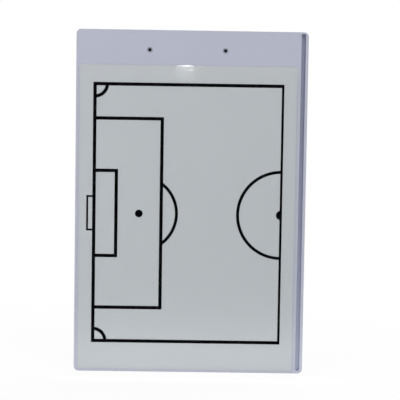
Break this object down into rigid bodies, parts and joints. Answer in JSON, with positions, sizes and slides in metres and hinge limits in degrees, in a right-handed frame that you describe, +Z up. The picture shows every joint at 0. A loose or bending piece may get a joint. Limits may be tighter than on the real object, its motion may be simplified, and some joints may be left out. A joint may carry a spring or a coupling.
{
  "type": "tactics board",
  "caption": "Clipboard-style football tactics board with printed pitch sheets under clear covers, a sprung paper clip with a hanging hole and a pen channel along one edge.",
  "frame": {"origin": "middle of the board's bottom edge, halfway through its thickness", "axes": "+Z up the board, +X to the right of someone looking at the half-pitch face, which points to -Y; the clip is on the +Y side"},
  "size_m": [0.2246, 0.0218, 0.334],
  "materials": {
    "board_plastic": "lilac-white rigid plastic with a soft sheen",
    "card": "smooth white card",
    "ink": "black print",
    "clear_film": "clear glossy film",
    "plated_steel": "bright nickel plate",
    "bright_steel": "plain bright steel",
    "spring_wire": "drawn spring wire"
  },
  "bodies": {
    "board": {"board_panel": "board_plastic", "back_cover": "clear_film", "full_pitch_sheet": "card", "full_pitch_markings": "ink", "front_cover": "clear_film", "clip_base": "plated_steel", "clip_pin": "bright_steel", "spring_left": "spring_wire", "spring_right": "spring_wire", "rivet_left": "bright_steel", "rivet_right": "bright_steel"},
    "jaw": {"clip_jaw": "plated_steel"},
    "sheet": {"half_pitch_sheet": "card", "half_pitch_markings": "ink"}
  },
  "joints": [
    {"name": "clip_hinge", "type": "hinge", "parent": "board", "child": "jaw", "pos_m": [-0.00465, 0.007, 0.31634], "axis": [1, 0, 0], "range_deg": [0, 40], "stiffness_Nm_per_rad": 0.25, "springref_deg": -40.11, "deforming": ["spring_left", "spring_right"]},
    {"name": "sheet_slide", "type": "slide", "parent": "board", "child": "sheet", "axis": [0, 0, 1], "range_m": [0, 0.25]}
  ]
}
